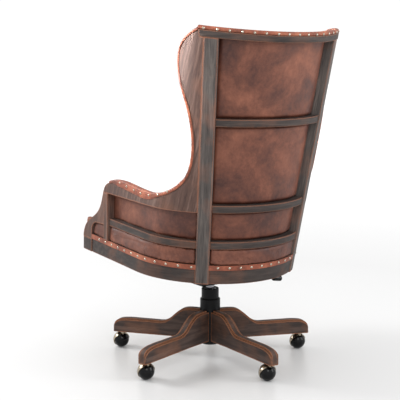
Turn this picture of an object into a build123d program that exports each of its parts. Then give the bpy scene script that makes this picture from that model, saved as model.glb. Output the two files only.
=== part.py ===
from build123d import *
import os
from math import asin, atan2, cos, degrees, hypot, radians, sin, tan

os.makedirs("parts", exist_ok=True)

# Swivel office chair: a tall barrel wingback on a five-legged wooden base.
# Origin on the swivel axis at the floor, +Z up, the sitter faces -Y, the sitter's left is +X.
# Millimetres and degrees.

# ---------------------------------------------------------------- driving dimensions
wood = 24                       # thickness of the frame's boards
seat_pitch = 3.5                # the seat's planes rise towards the front
arm_pitch = 2.3                 # the arm rail rises a little less
hinge_line_y = 198              # heights of pitched planes are given at this depth, the posts' feet

# The barrel: the outer surface of the frame, ruled between two plan sections.
# Each section is a back arc, two corner arcs and two straight sides.
low_section = {"z": 280, "back": 266.1, "centre": -11.3, "side": 270.5, "corner": 279.7}
high_section = {"z": 1060, "back": 361.3, "centre": 53.0, "side": 254.5, "corner": 32.1}
smallest_corner = 8
open_front = -430

post_width, post_depth = 40, 31
post_facing = 39                # the posts' rear faces turn outward by this angle
post_foot = (168.6, 198.0, 295)
post_head = (222.6, 323.3, 999)

frame_front = -345              # front faces of the front blocks
block_depth = 56
apron_bottom, apron_top = 295, 353
band_bottom = 338
block_top = 337
lower_slat_heights = (402, 424.5)
middle_slat_heights = (512, 534.5)
upper_slat_heights = (763.5, 785)
arm_rail_bottom = 512
rail_bottom, rail_thick, rail_end_y = 1000, 20, 302
rail_inset, rail_depth = -2, 38
rail_leather = 8                # height of the leather roll along the top rail
arm_leather, arm_leather_depth = 5, 14  # and of the roll on the arm, and how far in it reaches
slat_inset, slat_thick = 4, 30
apron_inset = 3
stile_front, stile_back = -206, -181
arch_front, arch_top = frame_front + block_depth, 425

pad_inset = 24.5                # the upholstery starts this far inside the outer surface
drum_inset = 8                  # the seat's leather side bulges out to here below the slats
back_inset = 22                 # and the back pad here, just in front of the slats
back_pad_thick, side_pad_thick = 62, 36
pad_joint_angle = 31            # where the back pad meets the side pads
leather = 2.5

platform_bottom, platform_thick = 303, 13
seat_box_top = 398
cushion_thick = 64

leg_count = 5
leg_angles = [18 + 72 * i for i in range(leg_count)]
leg_width, leg_bead, leg_step = 32, 19, 4.5
hub_r = 32
bolt_r, bolt_heights = 4, (85, 135)
socket_r, socket_flange_r, socket_top, leg_underside = 8, 11, 84, 55.5
caster_circle_r = 306.5
ball_r = 25
hood_inner_r, hood_outer_r = 25.4, 27.2
hood_heading, hood_tilt = -97, 32
caster_offset = 10
stem_r = 5.5
running_gap = 0.05

column_r, column_bore_r, column_top = 27.5, 24, 226
cylinder_r, cylinder_bore_r = 14, 11
rod_r = 5
pin_y, pin_z, pin_r = -55, 272, 6

nail_pitch, side_nail_pitch, side_nail_start = 35, 40.2, 217.5
nail_r, nail_height = 3.7, 2.1
post_half_angle = 6             # a nail nearer to a post's middle than this is left out

big = 1400


def save(part, name):
    part.label = name
    export_step(part, f"parts/{name}.step")


# ---------------------------------------------------------------- the barrel's surface
def section_sizes(section, inset):
    """radii, centres and turn of one plan section, moved inward by inset"""
    back = section["back"] - inset
    side = section["side"] - inset
    corner = max(section["corner"] - inset, smallest_corner)
    turn = degrees(asin((side - corner) / (back - corner)))
    corner_y = section["centre"] + (back - corner) * cos(radians(turn))
    return back, side, corner, turn, corner_y


def inside_barrel(inset):
    """everything inside the barrel's surface moved inward by inset"""
    with BuildPart() as body:
        for section in (low_section, high_section):
            back, side, corner, turn, corner_y = section_sizes(section, inset)
            with BuildSketch(Plane.XY.offset(section["z"])):
                with BuildLine():
                    Line((-side, open_front), (side, open_front))
                    Line((side, open_front), (side, corner_y))
                    CenterArc((side - corner, corner_y), corner, 0, 90 - turn)
                    CenterArc((0, section["centre"]), back, 90 - turn, 2 * turn)
                    CenterArc((corner - side, corner_y), corner, 90 + turn, 90 - turn)
                    Line((-side, corner_y), (-side, open_front))
                make_face()
        loft(ruled=True)
    return body.part


def surface_point(height, along, inset=0):
    """point and outward direction on the left half of the surface.

    along runs 0 to 1 over half the back arc, 1 to 2 over the corner, and beyond 2 straight
    forward, in millimetres past the corner's end."""
    blend = (height - low_section["z"]) / (high_section["z"] - low_section["z"])
    ends = []
    for section in (low_section, high_section):
        back, side, corner, turn, corner_y = section_sizes(section, inset)
        if along <= 1:
            angle = along * turn
            x, y = back * sin(radians(angle)), section["centre"] + back * cos(radians(angle))
        elif along <= 2:
            angle = turn + (along - 1) * (90 - turn)
            x = side - corner + corner * sin(radians(angle))
            y = corner_y + corner * cos(radians(angle))
        else:
            angle = 90
            x, y = side, corner_y - (along - 2)
        ends.append((x, y, angle))
    x, y, angle = (low + (high - low) * blend for low, high in zip(*ends))
    return x, y, angle


def pitched_plane(height, pitch=seat_pitch):
    """plane that rises towards the front, given by its height at the posts' feet"""
    normal = (0, sin(radians(pitch)), cos(radians(pitch)))
    return Plane(origin=(0, hinge_line_y, height), x_dir=(1, 0, 0), z_dir=normal)


def pitched_slab(bottom, top, pitch=seat_pitch):
    with BuildPart() as slab:
        with BuildSketch(pitched_plane(bottom, pitch)):
            Rectangle(big, big)
        extrude(amount=(top - bottom) * cos(radians(pitch)))
    return slab.part


post_axis = (Vector(*post_head) - Vector(*post_foot)).normalized()
post_rake = degrees(atan2(post_head[1] - post_foot[1], post_head[2] - post_foot[2]))


def raked_plane(height):
    """plane square to the raked posts, given by its height at the posts' heads"""
    normal = (0, sin(radians(post_rake)), cos(radians(post_rake)))
    return Plane(origin=(0, post_head[1], height), x_dir=(1, 0, 0), z_dir=normal)


def raked_slab(bottom, top):
    with BuildPart() as slab:
        with BuildSketch(raked_plane(bottom)):
            Rectangle(big, big)
        extrude(amount=(top - bottom) * cos(radians(post_rake)))
    return slab.part


def block(x0, x1, y0, y1, z0, z1):
    with BuildPart() as box:
        with BuildSketch(Plane.XY.offset(z0)):
            with Locations(((x0 + x1) / 2, (y0 + y1) / 2)):
                Rectangle(x1 - x0, y1 - y0)
        extrude(amount=z1 - z0)
    return box.part


def intersection(*solids):
    common = solids[0]
    for solid in solids[1:]:
        common = common & solid
    return common


back_pad_inside = back_inset + back_pad_thick
side_pad_inside = pad_inset + side_pad_thick
barrel = {inset: inside_barrel(inset) for inset in (
    -leather, rail_inset, -1, 0, 0.5, apron_inset, slat_inset, drum_inset, slat_inset + slat_thick,
    arm_leather_depth, wood, pad_inset, back_inset, rail_inset + rail_depth, side_pad_inside, side_pad_inside + 1.5,
    back_pad_inside, back_pad_inside + 1.5)}

# ---------------------------------------------------------------- rear posts
tangent = Vector(cos(radians(post_facing)), -sin(radians(post_facing)), 0)
tangent = (tangent - post_axis * tangent.dot(post_axis)).normalized()
post_plane = Plane(origin=post_foot, x_dir=tangent, z_dir=post_axis)
below_apron = pitched_slab(apron_bottom - 200, apron_bottom)
above_rail_bottom = raked_slab(rail_bottom, rail_bottom + 300)

with BuildPart() as rear_post_left:
    with BuildSketch(post_plane.offset(-60)):
        with Locations((0, -post_depth / 2)):
            RectangleRounded(post_width, post_depth, 3)
    extrude(amount=900)
    add(below_apron, mode=Mode.SUBTRACT)
    add(above_rail_bottom, mode=Mode.SUBTRACT)
with BuildPart() as rear_post_right:
    add(mirror(rear_post_left.part, about=Plane.YZ))
save(rear_post_left.part, "rear_post_left")
save(rear_post_right.part, "rear_post_right")
posts = [rear_post_left.part, rear_post_right.part]

# ---------------------------------------------------------------- sectors of the barrel
def back_sector(half_angle):
    """wedge that opens backward from the barrel's axis, half_angle to each side"""
    far_x, far_y = big * sin(radians(half_angle)), big * cos(radians(half_angle))
    with BuildPart() as sector:
        for section in (low_section, high_section):
            with BuildSketch(Plane.XY.offset(section["z"])):
                with Locations((0, section["centre"])):
                    Polygon((0, 0), (far_x, far_y), (-far_x, far_y), align=None)
        loft(ruled=True)
    return sector.part


between_posts = back_sector(post_facing)
back_pad_sector = back_sector(pad_joint_angle)

# ---------------------------------------------------------------- slats of the back
back_slats = {"lower_back_slat": lower_slat_heights, "middle_back_slat": middle_slat_heights,
              "upper_back_slat": upper_slat_heights}
slats = []
slat_ring = barrel[slat_inset] - barrel[slat_inset + slat_thick]
for name, (bottom, top) in back_slats.items():
    slab = pitched_slab(bottom, top)
    with BuildPart() as slat:
        add(slat_ring)
        add(slab, mode=Mode.INTERSECT)
        add(between_posts, mode=Mode.INTERSECT)
        for post in posts:
            add(post, mode=Mode.SUBTRACT)
    slats.append(slat.part)
    save(slat.part, name)

# ---------------------------------------------------------------- side panels: wing, arm, front leg
wing_front = [(212, 612), (234, 663), (247, 750), (240, 836), (216, 915), (216, 962)]
wing_top = [(231, 989), (262, 1009), (302, 1026)]
arm_sweep = [(-167, 564), (-122, 571), (-53, 566), (51, 554), (126, 558), (182, 582)]
arm_front = [(-340, 392), (-328, 411), (-308, 427), (-272, 446), (-236, 475), (-216, 518), (-200, 549)]


def arm_rail_plane_z(y):
    return arm_rail_bottom + (hinge_line_y - y) * tan(radians(arm_pitch))


def seat_z(height, y):
    return height + (hinge_line_y - y) * tan(radians(seat_pitch))


arch_radius = 30


def arm_front_curve(back=0, down=0):
    """the side panel's free edge, from the front block up over the arm and the wing to the top rail"""
    points = [(frame_front, seat_z(block_top, frame_front))] + arm_front + arm_sweep + wing_front + wing_top
    return Spline(*[(y + back, z - down) for y, z in points])


with BuildPart() as panel_outline:
    with BuildSketch(Plane.YZ):
        with BuildLine():
            edge = arm_front_curve()
            Line(edge @ 1, (420, 1026))
            Line((420, 1026), (420, arm_rail_plane_z(420)))
            Line((420, arm_rail_plane_z(420)), (stile_front, arm_rail_plane_z(stile_front)))
            Line((stile_front, arm_rail_plane_z(stile_front)), (stile_front, arch_top))
            Line((stile_front, arch_top), (arch_front + arch_radius, arch_top))
            RadiusArc((arch_front + arch_radius, arch_top),
                      (arch_front, arch_top - arch_radius), -arch_radius)
            Line((arch_front, arch_top - arch_radius), (arch_front, seat_z(block_top, arch_front)))
            Line((arch_front, seat_z(block_top, arch_front)), edge @ 0)
        make_face()
    extrude(amount=big / 2)

with BuildPart() as rail_room:
    add(raked_slab(rail_bottom, rail_bottom + 200))
    add(block(-big, big, rail_end_y, big, 0, big), mode=Mode.INTERSECT)

with BuildPart() as side_panel_left:
    add(barrel[0])
    add(panel_outline.part, mode=Mode.INTERSECT)
    add(barrel[wood], mode=Mode.SUBTRACT)
    add(between_posts, mode=Mode.SUBTRACT)
    add(rear_post_left.part, mode=Mode.SUBTRACT)
    add(rail_room.part, mode=Mode.SUBTRACT)
    side_board = side_panel_left.solids().sort_by(SortBy.VOLUME)[-1]
with BuildPart() as side_panel_right:
    add(mirror(side_board, about=Plane.YZ))
save(side_board, "side_panel_left")
save(side_panel_right.part, "side_panel_right")

# ---------------------------------------------------------------- top rail
with BuildPart() as top_rail:
    add(barrel[rail_inset])
    add(barrel[rail_inset + rail_depth], mode=Mode.SUBTRACT)
    add(raked_slab(rail_bottom, rail_bottom + rail_thick), mode=Mode.INTERSECT)
    add(block(-big, big, rail_end_y, big, 0, big), mode=Mode.INTERSECT)
save(top_rail.part, "top_rail")

# ---------------------------------------------------------------- stiles and side slats
left_side = block(0, big, -big, big, 0, big)
with BuildPart() as arm_stile_left:
    add(barrel[-leather])
    add(barrel[wood], mode=Mode.SUBTRACT)
    add(block(0, big, stile_front, stile_back, 0, big), mode=Mode.INTERSECT)
    add(pitched_slab(apron_top, big), mode=Mode.INTERSECT)
    add(pitched_slab(0, arm_rail_bottom, arm_pitch), mode=Mode.INTERSECT)
with BuildPart() as arm_stile_right:
    add(mirror(arm_stile_left.part, about=Plane.YZ))
with BuildPart() as side_slat_left:
    add(slat_ring)
    add(pitched_slab(*lower_slat_heights), mode=Mode.INTERSECT)
    add(block(0, big, stile_back, big, 0, big), mode=Mode.INTERSECT)
    add(between_posts, mode=Mode.SUBTRACT)
    add(rear_post_left.part, mode=Mode.SUBTRACT)
with BuildPart() as side_slat_right:
    add(mirror(side_slat_left.part, about=Plane.YZ))
save(arm_stile_left.part, "arm_stile_left")
save(arm_stile_right.part, "arm_stile_right")
save(side_slat_left.part, "side_slat_left")
save(side_slat_right.part, "side_slat_right")

# ---------------------------------------------------------------- seat frame
block_back = frame_front + block_depth
apron_slab = pitched_slab(apron_bottom, apron_top)
band_slab = pitched_slab(band_bottom, apron_top)
block_inner_x = 216

with BuildPart() as apron_ring:
    add(barrel[apron_inset])
    add(barrel[wood], mode=Mode.SUBTRACT)
    add(apron_slab, mode=Mode.INTERSECT)
    add(block(-big, big, block_back, big, 0, big), mode=Mode.INTERSECT)
    for post in posts:
        add(post, mode=Mode.SUBTRACT)
with BuildPart() as apron_back:
    add(apron_ring.part)
    add(between_posts, mode=Mode.INTERSECT)
with BuildPart() as apron_left:
    add(apron_ring.part)
    add(between_posts, mode=Mode.SUBTRACT)
    add(left_side, mode=Mode.INTERSECT)
with BuildPart() as apron_right:
    add(mirror(apron_left.part, about=Plane.YZ))
with BuildPart() as front_block_left:
    add(barrel[0])
    add(block(block_inner_x, big, frame_front, block_back, 0, big), mode=Mode.INTERSECT)
    add(pitched_slab(apron_bottom, block_top), mode=Mode.INTERSECT)
with BuildPart() as front_block_right:
    add(mirror(front_block_left.part, about=Plane.YZ))
with BuildPart() as front_rail:
    add(block(-block_inner_x, block_inner_x, frame_front + apron_inset, frame_front + wood, 0, big))
    add(apron_slab, mode=Mode.INTERSECT)
save(apron_back.part, "apron_back")
save(apron_left.part, "apron_left")
save(apron_right.part, "apron_right")
save(front_block_left.part, "front_block_left")
save(front_block_right.part, "front_block_right")
save(front_rail.part, "front_rail")

frame_pieces = [*posts, side_board, side_panel_right.part, top_rail.part,
                arm_stile_left.part, arm_stile_right.part,
                front_block_left.part, front_block_right.part]

# ---------------------------------------------------------------- upholstery, plain solids
drum_front = frame_front + 8
drum_core = intersection(barrel[pad_inset], pitched_slab(platform_bottom + platform_thick, seat_box_top),
                         block(-big, big, frame_front + pad_inset, big, 0, big))
with BuildPart() as seat_box:
    add(barrel[drum_inset])
    add(block(-big, big, drum_front, big, 0, big), mode=Mode.INTERSECT)
    add(pitched_slab(apron_top, seat_box_top), mode=Mode.INTERSECT)
    add(drum_core)
    for piece in frame_pieces:
        add(piece, mode=Mode.SUBTRACT)
save(seat_box.part, "seat_box")

rail_over = raked_slab(rail_bottom + rail_thick, rail_bottom + 300)
back_pad_room = intersection(barrel[back_inset], back_pad_sector) - barrel[back_pad_inside + 1.5]
with BuildPart() as back_pad:
    add(barrel[back_inset])
    add(back_pad_sector, mode=Mode.INTERSECT)
    add(barrel[back_pad_inside], mode=Mode.SUBTRACT)
    add(pitched_slab(seat_box_top + 0.5, big), mode=Mode.INTERSECT)
    add(rail_over, mode=Mode.SUBTRACT)
    for piece in (*posts, top_rail.part, *slats):
        add(piece, mode=Mode.SUBTRACT)
save(back_pad.part, "back_pad")

with BuildPart() as side_pad_outline:
    with BuildSketch(Plane.YZ):
        with BuildLine():
            pad_edge = arm_front_curve(back=9, down=17)
            Line(pad_edge @ 1, (420, 1022))
            Line((420, 1022), (420, seat_z(seat_box_top - 40, 420)))
            Line((420, seat_z(seat_box_top - 40, 420)), pad_edge @ 0)
        make_face()
    extrude(amount=big / 2)
with BuildPart() as side_pad_left:
    add(barrel[pad_inset])
    add(side_pad_outline.part, mode=Mode.INTERSECT)
    add(pitched_slab(seat_box_top + 0.5, big), mode=Mode.INTERSECT)
    add(barrel[side_pad_inside], mode=Mode.SUBTRACT)
    add(back_pad_sector, mode=Mode.SUBTRACT)
    add(rail_room.part, mode=Mode.SUBTRACT)
    add(rear_post_left.part, mode=Mode.SUBTRACT)
    for slat in (side_slat_left.part, *slats):
        add(slat, mode=Mode.SUBTRACT)
with BuildPart() as side_pad_right:
    add(mirror(side_pad_left.part, about=Plane.YZ))
save(side_pad_left.part, "side_pad_left")
save(side_pad_right.part, "side_pad_right")

with BuildPart() as seat_cushion:
    add(barrel[side_pad_inside + 1.5])
    add(pitched_slab(seat_box_top + 0.5, seat_box_top + 0.5 + cushion_thick), mode=Mode.INTERSECT)
    add(block(-big, big, drum_front + 12, big, 0, big), mode=Mode.INTERSECT)
    add(back_pad_room, mode=Mode.SUBTRACT)
save(seat_cushion.part, "seat_cushion")

# ---------------------------------------------------------------- leather bands
band_low = [(-160, 566), (-119, 557), (-75, 551), (-31, 545), (21, 537), (52, 535), (77, 538), (101, 545),
            (122, 552), (140, 559), (162, 568)]
with BuildPart() as arm_band_outline:
    with BuildSketch(Plane.YZ):
        with BuildLine():
            low_curve = Spline(*band_low)
            high_curve = Spline((162, 574), *[(y, z + arm_leather) for y, z in arm_sweep[4:0:-1]], (-160, 571))
            Line(low_curve @ 1, high_curve @ 0)
            Line(high_curve @ 1, low_curve @ 0)
        make_face()
    extrude(amount=big / 2)
with BuildPart() as arm_band:
    add(barrel[-leather])
    add(arm_band_outline.part, mode=Mode.INTERSECT)
    add(barrel[arm_leather_depth], mode=Mode.SUBTRACT)
    add(side_board, mode=Mode.SUBTRACT)
    add(rear_post_left.part, mode=Mode.SUBTRACT)
with BuildPart() as rim_band:
    add(barrel[-1])
    add(barrel[rail_inset + rail_depth], mode=Mode.SUBTRACT)
    add(raked_slab(rail_bottom + rail_thick, rail_bottom + rail_thick + rail_leather), mode=Mode.INTERSECT)
    add(block(-big, big, rail_end_y, big, 0, big), mode=Mode.INTERSECT)
    add(arm_band.part)
    add(mirror(arm_band.part, about=Plane.YZ))
save(rim_band.part, "rim_band")
arm_nails = [(-102, 569), (-61, 562), (-17, 556), (23, 550), (68, 550), (115, 557), (154, 569)]

with BuildPart() as apron_band:
    add(barrel[0.5])
    add(barrel[apron_inset], mode=Mode.SUBTRACT)
    add(band_slab, mode=Mode.INTERSECT)
    add(block(-big, big, block_back, big, 0, big), mode=Mode.INTERSECT)
    for post in posts:
        add(post, mode=Mode.SUBTRACT)
with BuildPart() as front_band:
    add(block(-block_inner_x, block_inner_x, frame_front + 0.5, frame_front + apron_inset, 0, big))
    add(band_slab, mode=Mode.INTERSECT)
with BuildPart() as apron_bands:
    add(apron_band.part)
    add(front_band.part)
save(apron_bands.part, "apron_band")

# ---------------------------------------------------------------- decorative nails
def surface_lean(height, along, inset):
    """how fast the surface moves outward with height"""
    x0, y0, angle = surface_point(height, along, inset)
    x1, y1, _ = surface_point(height + 1, along, inset)
    return (x1 - x0) * sin(radians(angle)) + (y1 - y0) * cos(radians(angle))


def dome_nail(point, angle, lean=0):
    """domed nail head standing on the surface, facing outward at angle from +Y"""
    facing = Plane(origin=point, z_dir=(sin(radians(angle)), cos(radians(angle)), -lean))
    cap_r = (nail_r ** 2 + nail_height ** 2) / (2 * nail_height)
    with BuildPart() as nail:
        with BuildSketch(Plane(origin=facing.origin, x_dir=facing.x_dir, z_dir=-facing.y_dir)):
            with BuildLine():
                Line((0, 0), (nail_r, 0))
                RadiusArc((nail_r, 0), (0, nail_height), -cap_r)
                Line((0, nail_height), (0, 0))
            make_face()
        revolve(axis=Axis(facing.origin, facing.z_dir))
    return nail.part


def surface_at(y, height, inset):
    """distance from the middle, outward direction and lean of the left surface at a depth and height"""
    near, far = 0, 2 - open_front
    for _ in range(40):
        middle = (near + far) / 2
        if surface_point(height, middle, inset)[1] > y:
            near = middle
        else:
            far = middle
    x, _, angle = surface_point(height, near, inset)
    return x, angle, surface_lean(height, near, inset)


def spaced(points, pitch, start):
    """points picked every pitch millimetres along a dense run of points"""
    picked, travelled, due = [], 0, start
    for before, after in zip(points, points[1:]):
        travelled += hypot(*(b - a for a, b in zip(before[0], after[0])))
        if travelled >= due:
            picked.append(after)
            due += pitch
    return picked


def dense_run(height_at, inset, last_along):
    """the left half of a line on the barrel, from the middle of the back to the front"""
    steps = [i / 100 for i in range(200)] + [2 + i for i in range(int(last_along))]
    run = []
    for along in steps:
        y = surface_point(500, along, inset)[1]
        for _ in range(3):
            x, y, angle = surface_point(height_at(y), along, inset)
        run.append(((x, y, height_at(y)), angle, surface_lean(height_at(y), along, inset)))
    return run


nails = []
band_middle = (band_bottom + apron_top) / 2
apron_line = dense_run(lambda y: seat_z(band_middle, y), 0.4, 262)
nails.append(dome_nail(*apron_line[0]))
for point, angle, lean in spaced(apron_line, nail_pitch, nail_pitch):
    if angle < post_facing - post_half_angle:
        nails.append(dome_nail(point, angle, lean))
for point, angle, lean in spaced(apron_line, side_nail_pitch, side_nail_start):
    nails.append(dome_nail(point, angle, lean))
rail_line = dense_run(lambda y: rail_bottom + rail_thick + rail_leather / 2
                      - (y - post_head[1]) * tan(radians(post_rake)), -1.1, 1)
for point, angle, lean in spaced(rail_line, nail_pitch, nail_pitch / 2):
    if point[1] > rail_end_y + 6:
        nails.append(dome_nail(point, angle, lean))
for y, z in arm_nails:
    x, angle, lean = surface_at(y, z, -leather - 0.1)
    nails.append(dome_nail((x, y, z), angle, lean))
front_nails = int((block_inner_x - 10) / nail_pitch)
for i in range(front_nails + 1):
    x = i * nail_pitch
    nails.append(dome_nail((x, frame_front + 0.4, seat_z(band_middle, frame_front)), 180))
with BuildPart() as nailheads:
    for nail in nails:
        add(nail)
        if nail.center().X > 1:
            add(mirror(nail, about=Plane.YZ))
save(nailheads.part, "nailheads")

# ---------------------------------------------------------------- base: hub and legs
def radial_rod(angle, height, radius, start, end):
    outward = Vector(cos(radians(angle)), sin(radians(angle)), 0)
    with BuildPart() as rod:
        with BuildSketch(Plane(origin=outward * start + Vector(0, 0, height), z_dir=outward)):
            Circle(radius)
        extrude(amount=end - start)
    return rod.part


def turned(profile, axis=Axis.Z, plane=Plane.XZ):
    """solid of revolution from a closed list of (radius, height) points"""
    with BuildPart() as body:
        with BuildSketch(plane):
            with BuildLine():
                Polyline(*profile, close=True)
            make_face()
        revolve(axis=axis)
    return body.part


bolt_holes = [radial_rod(angle, height, bolt_r + running_gap, hub_r - 8, 84)
              for angle in leg_angles for height in bolt_heights]
with BuildPart() as hub_tube:
    add(turned([(12, 46), (hub_r - 4, 46), (hub_r, 50), (hub_r, 191), (hub_r - 2, 193),
                (column_r + running_gap, 193), (column_r + running_gap, 50), (12, 50)]))
    for hole in bolt_holes:
        add(hole, mode=Mode.SUBTRACT)
save(hub_tube.part, "hub_tube")

leg_top = [(328, 88), (314, 98), (296, 102), (236, 104), (180, 104.5), (152, 107), (126, 124), (104, 143),
           (86, 153), (70, 156)]
leg_length = 334


def leg_board(lowered, width):
    """a leg's side profile as a board, its top edge lowered for the moulding's shoulders"""
    with BuildPart() as board:
        with BuildSketch(Plane.XZ.offset(-width / 2)):
            with BuildLine():
                top = Spline((leg_length - 2, 72 - lowered), *[(r, z - lowered) for r, z in leg_top],
                             (hub_r - 6, 157 - lowered))
                Line(top @ 1, (hub_r - 6, 58))
                Line((hub_r - 6, 58), (106, 59))
                Line((106, 59), (leg_length, leg_underside))
                Line((leg_length, leg_underside), top @ 0)
            make_face()
        extrude(amount=width)
    return board.part


with BuildPart() as leg:
    add(leg_board(leg_step, leg_width))
    add(leg_board(0, leg_bead))
    with BuildSketch(Plane.XY):
        with Locations((leg_length / 2, 0)):
            Rectangle(leg_length, leg_width)
        fillet(vertices().filter_by_position(Axis.X, leg_length - 1, leg_length + 1), 8)
    extrude(amount=200, mode=Mode.INTERSECT)
    with BuildSketch(Plane.XY):
        Circle(hub_r + running_gap)
    extrude(amount=200, mode=Mode.SUBTRACT)
    with BuildSketch(Plane.XY.offset(leg_underside - 10)):
        with Locations((caster_circle_r, 0)):
            Circle(socket_r + running_gap)
    extrude(amount=socket_top - leg_underside + 10.2, mode=Mode.SUBTRACT)
    for height in bolt_heights:
        add(radial_rod(0, height, bolt_r + running_gap, 0, 84), mode=Mode.SUBTRACT)
leg_shape = leg.part
for i, angle in enumerate(leg_angles):
    with BuildPart() as base_leg:
        add(leg_shape.rotate(Axis.Z, angle))
    save(base_leg.part, f"base_leg_{i + 1}")

with BuildPart() as leg_bolts:
    for angle in leg_angles:
        for height in bolt_heights:
            add(radial_rod(angle, height, bolt_r, column_r + 1, 80))
save(leg_bolts.part, "leg_bolts")

socket_profile = [(stem_r + running_gap, leg_underside - 2.2), (socket_flange_r, leg_underside - 2.2),
                  (socket_flange_r, leg_underside - 0.3), (socket_r, leg_underside - 0.3),
                  (socket_r, socket_top), (stem_r + running_gap, socket_top)]
caster_places = [Vector(caster_circle_r * cos(radians(a)), caster_circle_r * sin(radians(a)), 0)
                 for a in leg_angles]
socket = turned(socket_profile)
with BuildPart() as caster_sockets:
    for place in caster_places:
        add(socket.moved(Location(place)))
save(caster_sockets.part, "caster_sockets")

# ---------------------------------------------------------------- ball casters
heading = Vector(cos(radians(hood_heading)), sin(radians(hood_heading)), 0)
hood_axis = heading * cos(radians(hood_tilt)) + Vector(0, 0, sin(radians(hood_tilt)))
ball_centre = heading * caster_offset + Vector(0, 0, ball_r)
axle_plane = Plane(origin=ball_centre, z_dir=hood_axis)
axle_r, axle_depth = 3, 12
stem_top = socket_top - 1

with BuildPart() as fork_shape:
    with Locations(Location(ball_centre)):
        Sphere(hood_outer_r)
    with BuildSketch(axle_plane.offset(-1.5)):
        Circle(2 * ball_r)
    extrude(amount=-2 * ball_r, mode=Mode.SUBTRACT)
    with BuildSketch(Plane.XY.offset(ball_r + 12)):
        Circle(stem_r)
    extrude(amount=stem_top - ball_r - 12)
    with Locations(Location(ball_centre)):
        Sphere(hood_inner_r, mode=Mode.SUBTRACT)
    with BuildSketch(axle_plane.offset(-axle_depth)):
        Circle(axle_r)
    extrude(amount=axle_depth + hood_inner_r + 1)
with BuildPart() as ball_shape:
    with Locations(Location(ball_centre)):
        Sphere(ball_r)
    with BuildSketch(axle_plane.offset(-axle_depth - 0.5)):
        Circle(axle_r + running_gap)
    extrude(amount=2 * ball_r, mode=Mode.SUBTRACT)
for i, place in enumerate(caster_places):
    with BuildPart() as caster_fork:
        add(fork_shape.part.moved(Location(place)))
    save(caster_fork.part, f"caster_fork_{i + 1}")
    with BuildPart() as caster_ball:
        add(ball_shape.part.moved(Location(place)))
    save(caster_ball.part, f"caster_ball_{i + 1}")

# ---------------------------------------------------------------- gas column
lip = 2
with BuildPart() as lift_outer_tube:
    add(turned([(6, 50.2), (column_r, 50.2), (column_r, column_top - lip), (column_r - lip, column_top),
                (column_bore_r, column_top), (column_bore_r, 53.2), (6, 53.2)]))
save(lift_outer_tube.part, "lift_outer_tube")
with BuildPart() as lift_guide_bush:
    add(turned([(cylinder_r + running_gap, 160), (column_bore_r - running_gap, 160),
                (column_bore_r - running_gap, 224), (cylinder_r + running_gap, 224)]))
save(lift_guide_bush.part, "lift_guide_bush")
with BuildPart() as thrust_bearing:
    add(turned([(rod_r + running_gap, 53.2), (18, 53.2), (18, 59), (rod_r + running_gap, 59)]))
save(thrust_bearing.part, "thrust_bearing")
with BuildPart() as piston_rod:
    add(turned([(0, 47), (rod_r, 47), (rod_r, 59 + running_gap), (10, 59 + running_gap), (10, 63),
                (rod_r, 63), (rod_r, 178), (cylinder_bore_r - running_gap, 178),
                (cylinder_bore_r - running_gap, 190), (0, 190)]))
save(piston_rod.part, "piston_rod")
with BuildPart() as rod_clip:
    add(turned([(rod_r, 47.6), (9, 47.6), (9, 49.6), (rod_r, 49.6)]))
save(rod_clip.part, "rod_clip")
with BuildPart() as gas_cylinder:
    add(turned([(rod_r + running_gap, 66), (cylinder_r, 66), (cylinder_r, 270), (0, 270), (0, 262),
                (cylinder_bore_r, 262), (cylinder_bore_r, 76), (rod_r + running_gap, 76)]))
save(gas_cylinder.part, "gas_cylinder")

# ---------------------------------------------------------------- tilt mechanism
housing_half, housing_wall, housing_floor = 45, 4, 238
boss_r = 20
screw_z, screw_r, knob_r = 252, 4, 18
housing_front, housing_rear = -90, 36
rear_floor, step_y = 247, 22     # the housing is shallower behind the column
lever_y, lever_z, lever_r = 24, 258, 4
housing_side = [(housing_front, housing_floor), (step_y, housing_floor), (step_y, rear_floor),
                (housing_rear, rear_floor), (housing_rear, 268), (0, 282), (-35, 292), (housing_front, 292)]


def cross_rod(radius, x0, x1, y, z):
    with BuildPart() as rod:
        with BuildSketch(Plane(origin=(x0, y, z), z_dir=(1, 0, 0))):
            Circle(radius)
        extrude(amount=x1 - x0)
    return rod.part


def fore_aft_rod(radius, y0, y1, x, z):
    with BuildPart() as rod:
        with BuildSketch(Plane(origin=(x, y0, z), z_dir=(0, 1, 0))):
            Circle(radius)
        extrude(amount=y1 - y0)
    return rod.part


with BuildPart() as tilt_housing:
    with BuildSketch(Plane.YZ):
        Polygon(*housing_side, align=None)
    extrude(amount=housing_half, both=True)
    inner = housing_half - housing_wall
    add(block(-inner, inner, housing_front + housing_wall, step_y - housing_wall,
              housing_floor + housing_wall, 400), mode=Mode.SUBTRACT)
    add(block(-inner, inner, step_y - housing_wall, housing_rear - housing_wall,
              rear_floor + housing_wall, 400), mode=Mode.SUBTRACT)
    with BuildSketch(Plane.XY.offset(housing_floor)):
        Circle(boss_r)
    extrude(amount=270 - housing_floor)
    with BuildSketch(Plane.XY.offset(housing_floor)):
        Circle(cylinder_r + running_gap)
    extrude(amount=60, mode=Mode.SUBTRACT)
    add(cross_rod(pin_r + running_gap, -60, 60, pin_y, pin_z), mode=Mode.SUBTRACT)
    add(fore_aft_rod(screw_r + running_gap, housing_front - 5, housing_front + 10, 0, screw_z),
        mode=Mode.SUBTRACT)
    add(cross_rod(lever_r + 3, -60, -30, lever_y, lever_z), mode=Mode.SUBTRACT)
save(tilt_housing.part, "tilt_housing")

ear_x = housing_half + 0.6
ear_thick, plate_thick = 3, 3
with BuildPart() as tilt_pin:
    add(cross_rod(pin_r, -ear_x - ear_thick - 0.5, ear_x + ear_thick + 0.5, pin_y, pin_z))
    add(cross_rod(pin_r + 3, ear_x + ear_thick + 0.5, ear_x + ear_thick + 3, pin_y, pin_z))
    add(cross_rod(pin_r + 3, -ear_x - ear_thick - 3, -ear_x - ear_thick - 0.5, pin_y, pin_z))
save(tilt_pin.part, "tilt_pin")

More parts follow.
